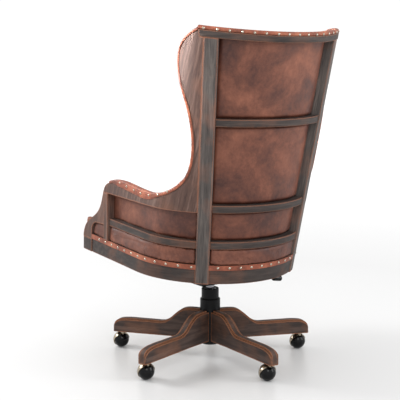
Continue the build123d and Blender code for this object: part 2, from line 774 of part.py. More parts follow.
plate_bottom = platform_bottom - plate_thick
plate_bolt_places = [(x, y) for x in (-75, 75) for y in (-120, 60)]
plate_slab = pitched_slab(plate_bottom, platform_bottom)
bolt_hole_r = 3.3
ear_top = seat_z(plate_bottom, pin_y) + 2


def pitched_rod(radius, x, y, start, end):
    """rod square to the seat plate, its ends measured from the plate's underside"""
    with BuildPart() as rod:
        with BuildSketch(pitched_plane(plate_bottom).offset(start)):
            with Locations((x, (y - hinge_line_y) / cos(radians(seat_pitch)))):
                Circle(radius)
        extrude(amount=end - start)
    return rod.part


with BuildPart() as seat_plate:
    add(intersection(block(-92, 92, -140, 80, 0, big), plate_slab))
    for side in (-1, 1):
        inner, outer = sorted((side * ear_x, side * (ear_x + ear_thick)))
        with BuildSketch(Plane(origin=(inner, 0, 0), x_dir=(0, 1, 0), z_dir=(1, 0, 0))):
            with Locations((pin_y, pin_z)):
                Circle(14)
            with Locations((pin_y, (pin_z + ear_top) / 2)):
                Rectangle(28, ear_top - pin_z)
        extrude(amount=outer - inner)
    add(cross_rod(pin_r + running_gap, -70, 70, pin_y, pin_z), mode=Mode.SUBTRACT)
    for x, y in plate_bolt_places:
        add(pitched_rod(bolt_hole_r, x, y, -10, 20), mode=Mode.SUBTRACT)
save(seat_plate.part, "seat_plate")

with BuildPart() as plate_bolts:
    for x, y in plate_bolt_places:
        add(pitched_rod(5.5, x, y, -4, 0))
        add(pitched_rod(3, x, y, -1, plate_thick + 10))
save(plate_bolts.part, "plate_bolts")

with BuildPart() as seat_platform:
    add(barrel[pad_inset])
    add(pitched_slab(platform_bottom, platform_bottom + platform_thick), mode=Mode.INTERSECT)
    add(block(-big, big, frame_front + pad_inset, big, 0, big), mode=Mode.INTERSECT)
    for piece in (*posts, front_block_left.part, front_block_right.part):
        add(piece, mode=Mode.SUBTRACT)
    for x, y in plate_bolt_places:
        add(pitched_rod(bolt_hole_r, x, y, -10, plate_thick + 10.5), mode=Mode.SUBTRACT)
save(seat_platform.part, "seat_platform")

spring_r, wire_r, spring_pitch = 8.5, 1.5, 7
spring_start, spring_end = housing_front + housing_wall + wire_r, -24 - wire_r
with BuildPart() as tension_spring:
    with BuildLine():
        coil = Helix(spring_pitch, spring_end - spring_start, spring_r,
                     center=(0, spring_start, screw_z), direction=(0, 1, 0))
    with BuildSketch(Plane(origin=coil @ 0, z_dir=coil % 0)):
        Circle(wire_r)
    sweep(is_frenet=True)
save(tension_spring.part, "tension_spring")

with BuildPart() as tension_knob:
    add(fore_aft_rod(knob_r, housing_front - 36, housing_front - 12, 0, screw_z))
    fillet(edges().filter_by(GeomType.CIRCLE), 3)
    add(fore_aft_rod(9, housing_front - 13, housing_front - 0.3, 0, screw_z))
    add(fore_aft_rod(screw_r, housing_front - 14, -26, 0, screw_z))
    for i in range(8):
        flute = fore_aft_rod(3, housing_front - 40, housing_front - 10,
                             (knob_r + 1) * cos(radians(45 * i)), screw_z + (knob_r + 1) * sin(radians(45 * i)))
        add(flute, mode=Mode.SUBTRACT)
save(tension_knob.part, "tension_knob")

# ---------------------------------------------------------------- height lever
lever_inner_x, lever_bend_x = -30, -70
grip_start, grip_length = Vector(-228, 30, 234), 36
with BuildPart() as height_lever:
    with BuildLine() as lever_path:
        FilletPolyline((lever_inner_x, lever_y, lever_z), (lever_bend_x, lever_y, lever_z), grip_start,
                       radius=40)
    with BuildSketch(Plane(origin=(lever_inner_x, lever_y, lever_z), z_dir=(-1, 0, 0))):
        Circle(lever_r)
    sweep()
save(height_lever.part, "height_lever")
grip_axis = (grip_start - Vector(lever_bend_x, lever_y, lever_z)).normalized()
with BuildPart() as lever_grip:
    with BuildSketch(Plane(origin=grip_start, z_dir=grip_axis)):
        Circle(9.5)
    extrude(amount=grip_length)
    fillet(edges().filter_by(GeomType.CIRCLE), 6)
save(lever_grip.part, "lever_grip")
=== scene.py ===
import math

import bmesh
import bpy
from mathutils import Matrix, Vector


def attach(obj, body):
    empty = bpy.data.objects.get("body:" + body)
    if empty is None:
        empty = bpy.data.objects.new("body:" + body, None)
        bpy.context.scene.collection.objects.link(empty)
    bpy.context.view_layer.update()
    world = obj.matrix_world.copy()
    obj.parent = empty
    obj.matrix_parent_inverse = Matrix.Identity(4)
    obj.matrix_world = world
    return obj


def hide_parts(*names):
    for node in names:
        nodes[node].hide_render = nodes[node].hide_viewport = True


# Swivel office chair: tall barrel wingback, weathered wood frame, aged leather.
# Metres, in the CAD model's frame: origin on the swivel axis at the floor, the sitter faces -Y.
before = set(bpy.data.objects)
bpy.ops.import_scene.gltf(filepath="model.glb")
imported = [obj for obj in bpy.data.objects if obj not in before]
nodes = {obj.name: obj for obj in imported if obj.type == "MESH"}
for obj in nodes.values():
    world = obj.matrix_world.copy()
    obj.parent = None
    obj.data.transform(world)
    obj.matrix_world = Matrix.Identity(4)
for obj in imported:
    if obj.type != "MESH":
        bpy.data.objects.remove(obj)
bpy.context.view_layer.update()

# ---------------------------------------------------------------- the barrel's surface
low_section = {"z": 0.280, "back": 0.2661, "centre": -0.0113, "side": 0.2705, "corner": 0.2797}
high_section = {"z": 1.060, "back": 0.3613, "centre": 0.0530, "side": 0.2545, "corner": 0.0321}
smallest_corner = 0.008
seat_slope = math.tan(math.radians(3.5))
feet_y = 0.198                  # heights of seat planes are given at this depth
post_foot = Vector((0.1686, 0.1980, 0.295))
post_head = Vector((0.2226, 0.3233, 0.999))
post_axis = (post_head - post_foot).normalized()
rake = (post_head.y - post_foot.y) / (post_head.z - post_foot.z)


def section_point(section, along, inset):
    """plan point and outward angle: along 0-1 on the back arc, 1-2 on the corner, then metres forward"""
    back, side = section["back"] - inset, section["side"] - inset
    corner = max(section["corner"] - inset, smallest_corner)
    turn = math.asin((side - corner) / (back - corner))
    corner_y = section["centre"] + (back - corner) * math.cos(turn)
    if along <= 1:
        angle = along * turn
        return back * math.sin(angle), section["centre"] + back * math.cos(angle), angle
    if along <= 2:
        angle = turn + (along - 1) * (math.pi / 2 - turn)
        return side - corner + corner * math.sin(angle), corner_y + corner * math.cos(angle), angle
    return side, corner_y - (along - 2), math.pi / 2


def surface(height, along, inset=0.0):
    """point on the barrel and its outward angle, along negative on the sitter's right"""
    blend = (height - low_section["z"]) / (high_section["z"] - low_section["z"])
    low = section_point(low_section, abs(along), inset)
    high = section_point(high_section, abs(along), inset)
    x, y, angle = (a + (b - a) * blend for a, b in zip(low, high))
    sign = -1 if along < 0 else 1
    return Vector((sign * x, y, height)), sign * angle


def seat_z(height, y):
    return height + (feet_y - y) * seat_slope


def rail_z(height, y):
    return height - (y - post_head.y) * rake


def depth_inside(point):
    """how far a point lies inside the barrel's surface, and the level direction outward there"""
    blend = max((point.z - low_section["z"]) / (high_section["z"] - low_section["z"]), 0.045)
    back, centre, side, corner = (low_section[key] + (high_section[key] - low_section[key]) * blend
                                  for key in ("back", "centre", "side", "corner"))
    sign = -1 if point.x < 0 else 1
    x, y = abs(point.x), point.y
    turn = math.asin((side - corner) / (back - corner))
    corner_x, corner_y = side - corner, centre + (back - corner) * math.cos(turn)
    if math.atan2(x, y - centre) < turn:
        reach = math.hypot(x, y - centre)
        return back - reach, Vector((sign * x / reach, (y - centre) / reach, 0))
    if y > corner_y:
        reach = math.hypot(x - corner_x, y - corner_y)
        return corner - reach, Vector((sign * (x - corner_x) / reach, (y - corner_y) / reach, 0))
    return side - x, Vector((sign, 0, 0))


def side_point(y, z, inset=0.0):
    """point on the left side of the barrel at a depth and height"""
    x = 0.2
    for _ in range(12):
        depth, outward = depth_inside(Vector((x, y, z)))
        x += (depth - inset) / max(outward.x, 0.3)
    return Vector((x, y, z))


def smooth_curve(points, steps):
    """natural cubic curve through the points, spaced by the chords between them"""
    count = len(points)
    knots = [0.0]
    for a, b in zip(points, points[1:]):
        knots.append(knots[-1] + math.dist(a, b))
    bends = []
    for axis in range(2):
        value = [point[axis] for point in points]
        lower, right = [0.0] * count, [0.0] * count
        for i in range(1, count - 1):
            before, after = knots[i] - knots[i - 1], knots[i + 1] - knots[i]
            pull = 6 * ((value[i + 1] - value[i]) / after - (value[i] - value[i - 1]) / before)
            scale = 2 * (before + after) - before * lower[i - 1]
            lower[i] = after / scale
            right[i] = (pull - before * right[i - 1]) / scale
        bend = [0.0] * count
        for i in range(count - 2, 0, -1):
            bend[i] = right[i] - lower[i] * bend[i + 1]
        bends.append(bend)
    run = []
    for i in range(count - 1):
        span = knots[i + 1] - knots[i]
        for k in range(steps):
            b = k / steps
            a = 1 - b
            run.append(tuple(a * points[i][n] + b * points[i + 1][n]
                             + ((a ** 3 - a) * bends[n][i] + (b ** 3 - b) * bends[n][i + 1]) * span ** 2 / 6
                             for n in range(2)))
    return run + [points[-1]]


# ---------------------------------------------------------------- small mesh tools
def mesh_object(name, verts, faces, material):
    """a smooth-shaded piece that rides on the seat"""
    mesh = bpy.data.meshes.new(name)
    mesh.from_pydata([tuple(v) for v in verts], [], faces)
    mesh.update()
    piece = bpy.data.objects.new(name, mesh)
    bpy.context.scene.collection.objects.link(piece)
    for polygon in mesh.polygons:
        polygon.use_smooth = True
    tidy = bmesh.new()
    tidy.from_mesh(mesh)
    bmesh.ops.recalc_face_normals(tidy, faces=tidy.faces)
    tidy.to_mesh(mesh)
    tidy.free()
    mesh.materials.append(material)
    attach(piece, "seat")
    return piece


def closed_grid(columns, rows, place):
    """verts and faces of a closed pillow: place(u, v, side) with u, v in 0-1 and side 0 or 1"""
    verts, faces = [], []
    for side in (0, 1):
        for i in range(columns + 1):
            for j in range(rows + 1):
                verts.append(place(i / columns, j / rows, side))
    size = (columns + 1) * (rows + 1)

    def at(i, j, side):
        return side * size + i * (rows + 1) + j

    for i in range(columns):
        for j in range(rows):
            faces.append((at(i, j, 0), at(i + 1, j, 0), at(i + 1, j + 1, 0), at(i, j + 1, 0)))
            faces.append((at(i, j, 1), at(i, j + 1, 1), at(i + 1, j + 1, 1), at(i + 1, j, 1)))
    for i in range(columns):
        for j in (0, rows):
            faces.append((at(i, j, 0), at(i, j, 1), at(i + 1, j, 1), at(i + 1, j, 0)))
    for j in range(rows):
        for i in (0, columns):
            faces.append((at(i, j, 0), at(i, j + 1, 0), at(i, j + 1, 1), at(i, j, 1)))
    return verts, faces


def swept_faces(rings, sides):
    """quads between the rings of a swept section, and its two end caps"""
    faces = []
    for i in range(rings - 1):
        for k in range(sides):
            a, b = i * sides + k, i * sides + (k + 1) % sides
            faces.append((a, b, b + sides, a + sides))
    faces.append(tuple(range(sides)))
    faces.append(tuple((rings - 1) * sides + k for k in range(sides)))
    return faces


def smooth_step(x):
    """0 to 1 with level ends"""
    x = min(max(x, 0), 1)
    return x * x * (3 - 2 * x)


# ---------------------------------------------------------------- material tools
class Graph:
    """short names for the shader nodes that the materials use"""

    def __init__(self, name):
        self.material = bpy.data.materials.new(name)
        self.material.use_nodes = True
        self.tree = self.material.node_tree
        self.shader = self.tree.nodes["Principled BSDF"]
        self.place = self.add("ShaderNodeTexCoord").outputs["Object"]

    def add(self, kind, values=None, **settings):
        node = self.tree.nodes.new(kind)
        for key, value in settings.items():
            setattr(node, key, value)
        for key, value in (values or {}).items():
            socket = node.inputs[key]
            if isinstance(value, bpy.types.NodeSocket):
                self.tree.links.new(value, socket)
            else:
                socket.default_value = value
        return node

    def noise(self, vector, scale, detail=4.0, roughness=0.5, distortion=0.0):
        return self.add("ShaderNodeTexNoise", {"Vector": vector, "Scale": scale, "Detail": detail,
                                               "Roughness": roughness, "Distortion": distortion}).outputs[0]

    def ramp(self, factor, *stops):
        node = self.add("ShaderNodeValToRGB", {"Fac": factor})
        ramp = node.color_ramp
        while len(ramp.elements) < len(stops):
            ramp.elements.new(0.5)
        for element, (position, colour) in zip(ramp.elements, stops):
            element.position = position
            element.color = (*colour, 1)
        return node.outputs[0]

    def fade(self, factor, low, high):
        limits = {"Value": factor, "From Min": low, "From Max": high}
        return self.add("ShaderNodeMapRange", limits).outputs[0]

    def math(self, operation, a, b=0.0):
        return self.add("ShaderNodeMath", {0: a, 1: b}, operation=operation).outputs[0]

    def mix(self, factor, a, b, blend_type="MIX"):
        node = self.add("ShaderNodeMix", data_type="RGBA", blend_type=blend_type)
        for index, value in ((0, factor), (6, a), (7, b)):
            socket = node.inputs[index]
            if isinstance(value, bpy.types.NodeSocket):
                self.tree.links.new(value, socket)
            elif index == 0:
                socket.default_value = value
            else:
                socket.default_value = (*value, 1)
        return node.outputs[2]

    def vector(self, operation, a, b=(0, 0, 0)):
        return self.add("ShaderNodeVectorMath", {0: a, 1: b}, operation=operation)

    def bump(self, height, strength, distance, normal=None):
        values = {"Height": height, "Strength": strength, "Distance": distance}
        if normal is not None:
            values["Normal"] = normal
        return self.add("ShaderNodeBump", values).outputs[0]

    def set(self, **inputs):
        for key, value in inputs.items():
            socket = self.shader.inputs[key.replace("_", " ")]
            if isinstance(value, bpy.types.NodeSocket):
                self.tree.links.new(value, socket)
            else:
                socket.default_value = value
        return self.material

    def edges(self, radius):
        """1 along outside edges, 0 on flat faces and in corners"""
        rounded = self.add("ShaderNodeBevel", {"Radius": radius}, samples=6).outputs[0]
        normal = self.add("ShaderNodeNewGeometry").outputs["Normal"]
        along = self.vector("DOT_PRODUCT", rounded, normal).outputs["Value"]
        bare = self.fade(along, 0.999, 0.90)
        open_sky = self.add("ShaderNodeAmbientOcclusion", {"Distance": 0.02}, samples=6).outputs["AO"]
        return self.math("MULTIPLY", bare, self.fade(open_sky, 0.25, 0.60))


def rgb(code):
    """linear colour from a six-digit screen colour"""
    parts = [int(code[i:i + 2], 16) / 255 for i in (0, 2, 4)]
    return tuple(p / 12.92 if p <= 0.04045 else ((p + 0.055) / 1.055) ** 2.4 for p in parts)


# ---------------------------------------------------------------- wood
mean_radius = 0.28              # turns an angle round the barrel into metres of grain


def straight_grain(direction, across=(0, 0, 1)):
    """grain runs along direction"""
    x = Vector(direction).normalized()
    z = (Vector(across) - x * x.dot(Vector(across))).normalized()
    turn = Matrix((x, z.cross(x), z)).to_euler()

    def coordinates(graph):
        return graph.add("ShaderNodeMapping", {"Vector": graph.place, "Rotation": turn}).outputs[0]
    return coordinates


def round_grain(graph):
    """grain runs round the barrel: x is the angle made into metres, y the radius, z the height"""
    axes = graph.add("ShaderNodeSeparateXYZ", {0: graph.place})
    angle = graph.math("ARCTAN2", axes.outputs[0], axes.outputs[1])
    run = graph.math("MULTIPLY", angle, mean_radius)
    flat = graph.vector("MULTIPLY", graph.place, (1, 1, 0)).outputs[0]
    radius = graph.vector("LENGTH", flat).outputs["Value"]
    return graph.add("ShaderNodeCombineXYZ", {0: run, 1: radius, 2: axes.outputs[2]}).outputs[0]


def wood(name, grain, dark, mid, light, worn, wear=1.0, figure=1.0):
    """weathered wood: long bands and fine fibres, rubbed back to a warm tone in blotches and along edges"""
    graph = Graph(name)
    run = grain(graph)
    wander = graph.noise(run, 3.0, 2.0)
    bent = graph.vector("ADD", run, graph.math("MULTIPLY", wander, 0.012 * figure)).outputs[0]
    long_run = graph.vector("MULTIPLY", bent, (1.0, 14, 14)).outputs[0]
    fibre_run = graph.vector("MULTIPLY", bent, (1.0, 36, 36)).outputs[0]
    bands = graph.noise(long_run, 6.0, 6.0, 0.62, 0.4)
    fibres = graph.noise(fibre_run, 16.0, 5.0, 0.7)
    blotch = graph.noise(run, 9.0, 3.0, 0.6)
    both = graph.math("ADD", graph.math("MULTIPLY", bands, 0.62), graph.math("MULTIPLY", fibres, 0.38))
    colour = graph.ramp(both, (0.34, dark), (0.5, mid), (0.66, light))
    colour = graph.mix(graph.math("MULTIPLY", graph.fade(blotch, 0.50, 0.74), 0.35), colour, worn)
    edge = graph.edges(0.0060)
    rubbed = graph.fade(graph.math("ADD", edge, graph.math("MULTIPLY", fibres, 0.6)), 0.50, 0.95)
    colour = graph.mix(graph.math("MULTIPLY", rubbed, wear), colour, worn)
    pores = graph.fade(fibres, 0.30, 0.42)
    colour = graph.mix(graph.math("SUBTRACT", 1.0, pores), colour, tuple(c * 0.45 for c in dark))
    rough = graph.fade(fibres, -0.6, 1.1)
    height = graph.math("ADD", graph.math("MULTIPLY", fibres, 0.6), graph.math("MULTIPLY", bands, 0.4))
    return graph.set(Base_Color=colour, Roughness=rough, Specular_IOR_Level=0.35,
                     Normal=graph.bump(height, 0.35, 0.0012))


post_tones = {"dark": rgb("2d2725"), "mid": rgb("4a4441"), "light": rgb("6b625c"), "worn": rgb("965f45")}
frame_tones = {"dark": rgb("211a18"), "mid": rgb("352d2a"), "light": rgb("4c423d"), "worn": rgb("84533b")}
panel_tones = {"dark": rgb("33231e"), "mid": rgb("523c34"), "light": rgb("735c52"), "worn": rgb("8c5b44")}
base_tones = {"dark": rgb("211814"), "mid": rgb("3b2d28"), "light": rgb("57453d"), "worn": rgb("8a5739")}


# ---------------------------------------------------------------- leather
def leather(name, deep, mid, bright, patch):
    """aged leather: cloudy tones, a pebbled grain and shallow creases; a larger patch gives smaller clouds"""
    graph = Graph(name)
    clouds = graph.noise(graph.place, patch, 5.0, 0.62, 0.3)
    speckle = graph.noise(graph.place, 90.0, 4.0, 0.7)
    tone = graph.math("ADD", graph.math("MULTIPLY", clouds, 0.8), graph.math("MULTIPLY", speckle, 0.2))
    colour = graph.ramp(tone, (0.36, deep), (0.5, mid), (0.66, bright))
    pebble = graph.add("ShaderNodeTexVoronoi", {"Vector": graph.place, "Scale": 420.0},
                       feature="SMOOTH_F1").outputs["Distance"]
    wrinkle = graph.noise(graph.place, 38.0, 6.0, 0.68, 1.2)
    colour = graph.mix(graph.math("MULTIPLY", graph.fade(pebble, 0.25, 0.0), 0.25), colour,
                       tuple(c * 0.6 for c in deep))
    rough = graph.fade(graph.math("ADD", clouds, graph.math("MULTIPLY", wrinkle, 0.5)), -0.55, 1.75)
    fine = graph.bump(pebble, 0.30, 0.0004)
    return graph.set(Base_Color=colour, Roughness=rough, Specular_IOR_Level=0.42,
                     Normal=graph.bump(wrinkle, 0.25, 0.0016, fine))


hide = leather("aged_leather", rgb("40211a"), rgb("633829"), rgb("86523e"), patch=9.0)
band_hide = leather("band_leather", rgb("5c2e1f"), rgb("84452f"), rgb("a8664a"), patch=16.0)


# ---------------------------------------------------------------- metals and plastics
def metal(name, colour, roughness, metallic=1.0, scratch=0.08, shine=0.5):
    """metal, enamel or plastic with a faint haze of fine scratches"""
    graph = Graph(name)
    haze = graph.noise(graph.place, 60.0, 5.0, 0.7)
    rough = graph.math("ADD", graph.math("MULTIPLY", haze, scratch * 2), roughness - scratch)
    tint = graph.mix(graph.fade(haze, 0.35, 0.7), tuple(c * 0.82 for c in colour), colour)
    return graph.set(Base_Color=tint, Roughness=rough, Metallic=metallic, Specular_IOR_Level=shine,
                     Normal=graph.bump(haze, 0.08, 0.0005))


nail_metal = metal("antique_nickel", rgb("b5ab9c"), 0.24)
dark_nail = metal("dark_nail", rgb("6a5a4c"), 0.35)
black_metal = metal("black_enamel", rgb("08080a"), 0.42, metallic=0.0, scratch=0.05, shine=0.16)
black_plastic = metal("black_plastic", rgb("060607"), 0.18, metallic=0.0, scratch=0.05, shine=0.2)
brassy = metal("caster_brass", rgb("a89c8a"), 0.26)
chrome = metal("chrome", rgb("8c8c90"), 0.20, scratch=0.04)
zinc = metal("zinc_steel", rgb("9a9a9c"), 0.32)
plywood = wood("plywood_deck", straight_grain((1, 0, 0)), rgb("8a6a45"), rgb("a5845a"), rgb("bb9a6e"),
               rgb("a5845a"), wear=0.2)


# ---------------------------------------------------------------- finish of the CAD nodes
def finish_node(name, material):
    piece = nodes[name]
    piece.data.materials.clear()
    piece.data.materials.append(material)


def soften_edges(name, width, segments=2):
    """the maker's small rounding along a board's or fitting's edges"""
    piece = nodes[name]
    weld = piece.modifiers.new("weld", "WELD")
    weld.merge_threshold = 0.00002
    rounding = piece.modifiers.new("rounding", "BEVEL")
    rounding.width = width
    rounding.segments = segments
    rounding.limit_method = "ANGLE"
    rounding.angle_limit = math.radians(38)
    rounding.use_clamp_overlap = True


round_wood = wood("frame_wood_round", round_grain, **frame_tones)
for name in ("top_rail", "upper_back_slat", "middle_back_slat", "lower_back_slat", "side_slat_left",
             "side_slat_right", "apron_left", "apron_right", "apron_back"):
    finish_node(name, round_wood)
    soften_edges(name, 0.0018)
cross_wood = wood("frame_wood_cross", straight_grain((1, 0, 0)), **frame_tones)
for name in ("front_rail", "front_block_left", "front_block_right"):
    finish_node(name, cross_wood)
    soften_edges(name, 0.002)
for name, side in (("left", 1), ("right", -1)):
    run = Vector((side * post_axis.x, post_axis.y, post_axis.z))
    finish_node(f"rear_post_{name}", wood(f"post_wood_{name}", straight_grain(run, (0, 1, 0)),
                                          **post_tones))
    finish_node(f"arm_stile_{name}", wood(f"stile_wood_{name}", straight_grain((0, 0, 1), (0, 1, 0)),
                                          **panel_tones))
    finish_node(f"side_panel_{name}", wood(f"panel_wood_{name}", straight_grain((0, 0.35, 1), (1, 0, 0)),
                                           figure=2.2, **panel_tones))
    soften_edges(f"rear_post_{name}", 0.0012)
    soften_edges(f"arm_stile_{name}", 0.0018)
    soften_edges(f"side_panel_{name}", 0.0022)
first_leg_angle = 18
for i in range(5):
    turn = math.radians(first_leg_angle + 72 * i)
    leg_grain = straight_grain((math.cos(turn), math.sin(turn), 0))
    finish_node(f"base_leg_{i + 1}", wood(f"leg_wood_{i + 1}", leg_grain, **base_tones))
    soften_edges(f"base_leg_{i + 1}", 0.0022, 3)
    finish_node(f"caster_fork_{i + 1}", brassy)
    finish_node(f"caster_ball_{i + 1}", black_plastic)
for name in ("hub_tube", "lift_outer_tube", "tilt_housing", "seat_plate", "height_lever"):
    finish_node(name, black_metal)
for name in ("lift_guide_bush", "lever_grip", "tension_knob"):
    finish_node(name, black_plastic)
for name in ("leg_bolts", "plate_bolts", "rod_clip", "thrust_bearing", "tension_spring", "tilt_pin"):
    finish_node(name, zinc)
for name in ("gas_cylinder", "piston_rod"):
    finish_node(name, chrome)
finish_node("caster_sockets", brassy)
finish_node("seat_platform", plywood)
finish_node("nailheads", nail_metal)
finish_node("apron_band", band_hide)

# ---------------------------------------------------------------- outside back leather
post_edge = 41.3 / 42.5         # the panel ends behind the posts, just inside the back arc's end
back_bottom, back_top = 0.3990, 1.0000
slat_heights = ((0.402, 0.4245), (0.512, 0.5345), (0.7635, 0.785))
panel_face, panel_crown, panel_roll = 0.0262, 0.0040, 0.0085
behind_slats, panel_inside = 0.0350, 0.0365
roll_start, roll_width = 0.11, 0.10
press_margin, press_width = 0.0015, 0.009
middle_height = 0.7


def slat_press(height, y):
    """1 behind a slat, fading to 0 a little above and below it"""
    pressed = 0.0
    for bottom, top in slat_heights:
        gap = max(seat_z(bottom, y) - height, height - seat_z(top, y))
        pressed = max(pressed, 1 - smooth_step((gap + press_margin) / press_width))
    return pressed


def outside_back_place(u, v, side):
    """taut leather panel behind the slats: crowned backward, rolled forward beside the posts"""
    along = (2 * u - 1) * post_edge
    edge = 1 - abs(2 * u - 1)
    roll = 1 - smooth_step((edge - roll_start) / roll_width)
    crown = smooth_step((edge - roll_start) * 2.7)
    point, _ = surface(middle_height, along)
    for _ in range(3):
        low, high = seat_z(back_bottom, point.y), rail_z(back_top, point.y) - 0.0006
        height = low + (high - low) * v
        inset = panel_face - panel_crown * crown + panel_roll * roll ** 2
        inset += (behind_slats - inset) * slat_press(height, point.y)
        if side:
            inset = panel_inside
        point, _ = surface(height, along, inset)
    return point


outside_back = mesh_object("outside_back_leather", *closed_grid(120, 170, outside_back_place), hide)


# ---------------------------------------------------------------- stuffed pieces
skin_depth = 0.020              # what lies nearer the barrel's surface than this belongs to the drum's skin
behind_back = 0.0375            # the inside back stays in front of the outside back's leather


def stuffed(name, node, voxel, cap, least_depth=0.0, still_below=None, rounding=6, shrink=0.003,
            room=None, swell=0.0):
    """a stuffed copy of a plain CAD solid: remeshed, rounded, blown up as cloth and held in its room"""
    source = nodes[node]
    mesh = source.data.copy()
    mesh.transform(source.matrix_world)
    piece = bpy.data.objects.new(name, mesh)
    bpy.context.scene.collection.objects.link(piece)
    remesh = piece.modifiers.new("remesh", "REMESH")
    remesh.mode = "VOXEL"
    remesh.voxel_size = voxel
    soften = piece.modifiers.new("soften", "SMOOTH")
    soften.factor, soften.iterations = 0.5, rounding
    apply_shape(piece)
    mesh = piece.data
    for vertex in mesh.vertices:
        depth, outward = depth_inside(vertex.co)
        in_skin = room is not None and depth < skin_depth
        if in_skin and vertex.co.z > seat_z(still_below, vertex.co.y):
            vertex.co += outward * max(0, vertex.normal.dot(outward)) * swell
            vertex.co.z += vertex.normal.z * swell
        else:
            vertex.co -= vertex.normal * shrink
    start = [vertex.co.copy() for vertex in mesh.vertices]
    blow_up(piece, start, cap, still_below)
    for vertex in mesh.vertices:
        back_half = vertex.co.y > 0 and abs(math.atan2(vertex.co.x, vertex.co.y)) < math.radians(41)
        least = max(least_depth, behind_back if back_half and node != "seat_box" else 0)
        depth, outward = depth_inside(vertex.co)
        if depth < least:
            vertex.co -= outward * (least - depth)
        if room is not None and depth < skin_depth + 0.006:
            vertex.co.z = max(vertex.co.z, seat_z(room[0], vertex.co.y))
            vertex.co.z = min(vertex.co.z, seat_z(room[1], vertex.co.y))
    mesh.update()
    for polygon in mesh.polygons:
        polygon.use_smooth = True
    mesh.materials.clear()
    mesh.materials.append(hide)
    finer = piece.modifiers.new("finer", "SUBSURF")
    finer.levels = finer.render_levels = 1
    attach(piece, "seat")
    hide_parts(node)


def apply_shape(piece):
    """puts the result of a piece's modifiers into its mesh"""
    shape = bpy.data.meshes.new_from_object(piece.evaluated_get(bpy.context.evaluated_depsgraph_get()))
    piece.modifiers.clear()
    piece.data = shape


def blow_up(piece, start, cap, still_below):
    """cloth with air inside, twenty frames, no point moving further than cap"""
    if still_below is not None:
        still = piece.vertex_groups.new(name="still")
        still.add([i for i, co in enumerate(start) if co.z < seat_z(still_below, co.y)], 1.0, "REPLACE")
    cloth = piece.modifiers.new("cloth", "CLOTH")
    cloth.settings.quality = 4
    cloth.settings.use_pressure = True
    cloth.settings.uniform_pressure_force = 4
    cloth.settings.effector_weights.gravity = 0
    if still_below is not None:
        cloth.settings.vertex_group_mass = "still"
    scene = bpy.context.scene
    for step in range(1, 21):
        scene.frame_set(step)
    blown = piece.evaluated_get(bpy.context.evaluated_depsgraph_get()).data
    places = [vertex.co.copy() for vertex in blown.vertices]
    piece.modifiers.clear()
    scene.frame_set(1)
    for vertex, before, after in zip(piece.data.vertices, start, places):
        move = after - before
        if move.length > cap:
            move *= cap / move.length
        vertex.co = before + move


stuffed("seat_cushion_leather", "seat_cushion", 0.006, 0.012, least_depth=0.063, shrink=0.006)
stuffed("inside_back_leather", "back_pad", 0.006, 0.009, least_depth=0.0375)
for side in ("left", "right"):
    stuffed(f"side_pad_leather_{side}", f"side_pad_{side}", 0.006, 0.007, least_depth=0.0248,
            shrink=0.004)
stuffed("seat_drum_leather", "seat_box", 0.005, 0.004, least_depth=0.0025, still_below=0.350,
        rounding=3, shrink=0.001, room=(0.3533, 0.4015), swell=0.006)

# ---------------------------------------------------------------- leather rolls along the frame's edges
# depth and height of points on the left board's free edge, from the front foot up over arm and wing
front_edge = [(-0.345, 0.3703), (-0.340, 0.392), (-0.328, 0.411), (-0.308, 0.427), (-0.272, 0.446),
              (-0.236, 0.475), (-0.216, 0.518), (-0.200, 0.549)]
arm_edge = [(-0.167, 0.564), (-0.122, 0.571), (-0.053, 0.566), (0.051, 0.554), (0.126, 0.558),
            (0.182, 0.582)]
wing_edge = [(0.212, 0.612), (0.234, 0.663), (0.247, 0.750), (0.240, 0.836), (0.216, 0.915), (0.216, 0.962),
             (0.231, 0.989), (0.262, 1.009), (0.302, 1.026)]
free_edge = smooth_curve(front_edge + arm_edge + wing_edge, 12)
wing_foot = 0.60                # height where the arm's edge becomes the wing's
thin_lap = 0.0045
# lower edge of the leather that laps over the arm's outside
band_low = [(-0.175, 0.561), (-0.160, 0.566), (-0.119, 0.557), (-0.075, 0.551), (-0.031, 0.545),
            (0.021, 0.537), (0.052, 0.535), (0.077, 0.538), (0.101, 0.545), (0.122, 0.552), (0.140, 0.559),
            (0.162, 0.568)]


def band_lap(y, z):
    """how far the leather reaches down the outside of the board"""
    if y > band_low[-1][0] or z > wing_foot:
        return thin_lap
    for (y0, z0), (y1, z1) in zip(band_low, band_low[1:]):
        if y0 <= y <= y1:
            return max(z - (z0 + (z1 - z0) * (y - y0) / (y1 - y0)), thin_lap)
    return thin_lap


def edge_frame(i):
    """place, outward direction, and direction away from the board at one point of the rolled edge"""
    (y0, z0), (y1, z1) = roll_run[max(i - 1, 0)], roll_run[min(i + 1, len(roll_run) - 1)]
    here = side_point(*roll_run[i])
    forward = (side_point(y1, z1) - side_point(y0, z0)).normalized()
    outward = depth_inside(here)[1]
    outward = (outward - forward * outward.dot(forward)).normalized()
    away = outward.cross(forward).normalized()
    if away.dot(Vector((0, -0.5, 1))) < 0:
        away = -away
    return here, outward, away


def mirrored(verts, sign):
    return [Vector((sign * v.x, v.y, v.z)) for v in verts]


def roll_section(lap, plump):
    """closed section of the leather over the board's edge: out from the board's face, and away from it"""
    return [(0.0014, -lap), (0.0021, -lap + 0.0015), (0.0023, 0.0010), (0.0016, 0.0036 * plump),
            (-0.0010, 0.0052 * plump), (-0.0070, 0.0056 * plump), (-0.0140, 0.0044 * plump),
            (-0.0210, 0.0022), (-0.0250, 0.0004), (-0.0262, -0.0040), (-0.0246, -0.0050),
            (-0.0242, 0.0001), (-0.0120, 0.0001), (0.0003, 0.0001), (0.0003, -lap)]


